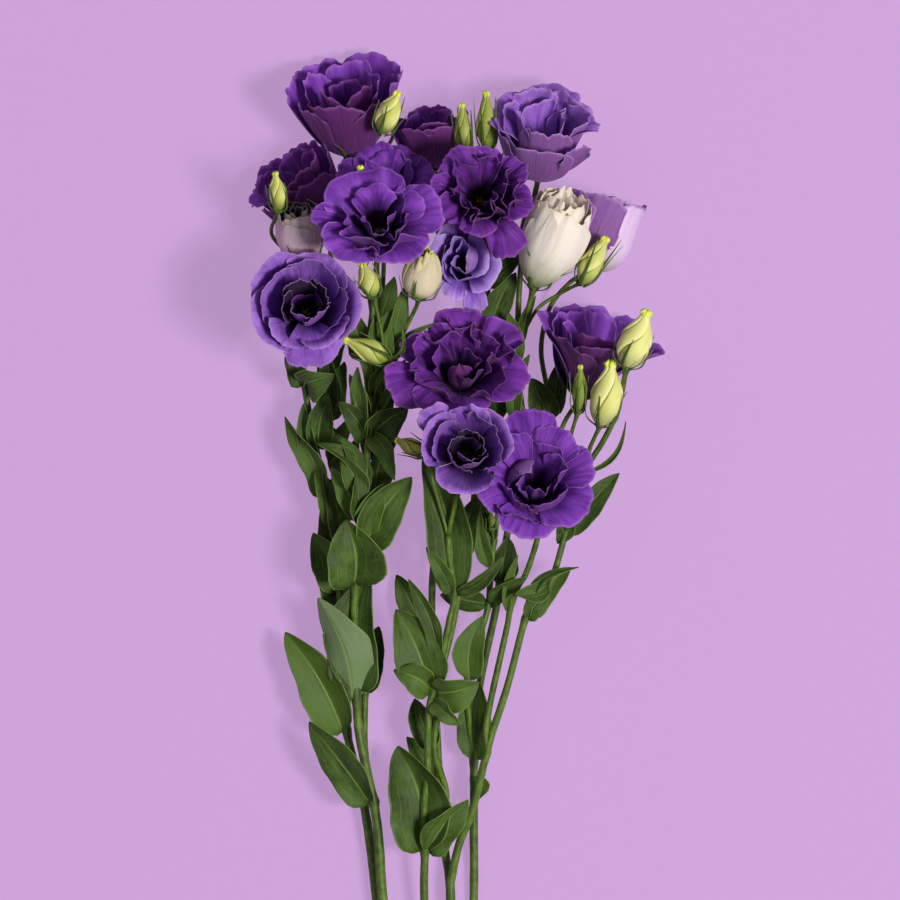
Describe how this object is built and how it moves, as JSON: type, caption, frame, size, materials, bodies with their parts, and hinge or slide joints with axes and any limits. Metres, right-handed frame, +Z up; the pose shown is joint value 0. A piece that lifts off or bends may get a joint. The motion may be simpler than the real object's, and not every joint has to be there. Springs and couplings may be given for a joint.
{
  "type": "bunch of cut lisianthus",
  "caption": "Loose bunch of cut, branching lisianthus stems laid flat, with ruffled violet, lilac and cream flowers, pointed buds and paired leaves.",
  "frame": {"origin": "middle of the bunch's footprint, on the surface that it lies on", "axes": "+Y along the stems from the cut ends towards the flower heads, +Z up from the surface, +X to the right seen from above with the heads away from the viewer"},
  "size_m": [0.2029, 0.4827, 0.1015],
  "materials": {
    "leafy_stem": "soft waxy green, lighter along the stems",
    "petals_violet": "matt, satin across the folds, pale at the rim",
    "petals_deep_violet": "matt, velvety, plum on the backs",
    "petals_lilac": "matt, near white at the crinkled rim",
    "petals_pale_mauve": "matt, violet at the rim",
    "petals_cream": "matt, green at the foot",
    "buds_green": "soft waxy yellow-green"
  },
  "bodies": {
    "root": {"stem_left_back": "leafy_stem", "stem_left_front": "leafy_stem", "stem_centre_front": "leafy_stem", "stem_centre_back": "leafy_stem", "stem_right_front": "leafy_stem", "stem_right_back": "leafy_stem", "flower_top_left": "petals_deep_violet", "flower_top_middle": "petals_deep_violet", "flower_top_right": "petals_lilac", "flower_upper_left": "petals_deep_violet", "flower_behind": "petals_violet", "flower_crest": "petals_violet", "flower_dark": "petals_deep_violet", "flower_loose": "petals_lilac", "flower_left": "petals_lilac", "flower_pale": "petals_cream", "flower_far_right": "petals_pale_mauve", "flower_middle": "petals_deep_violet", "flower_right": "petals_violet", "flower_low_left": "petals_lilac", "flower_low_right": "petals_violet", "bud_opening_mauve": "petals_pale_mauve", "bud_opening_cream": "petals_cream", "bud_top_left": "buds_green", "bud_top_middle": "buds_green", "bud_top_right": "buds_green", "bud_upper_left": "buds_green", "bud_peep": "buds_green", "bud_under_crest": "buds_green", "bud_left": "buds_green", "bud_low_left": "buds_green", "bud_far_right": "buds_green", "bud_right_upper": "buds_green", "bud_right_lower": "buds_green", "bud_right_green": "buds_green", "bud_tiny": "buds_green"}
  },
  "joints": []
}
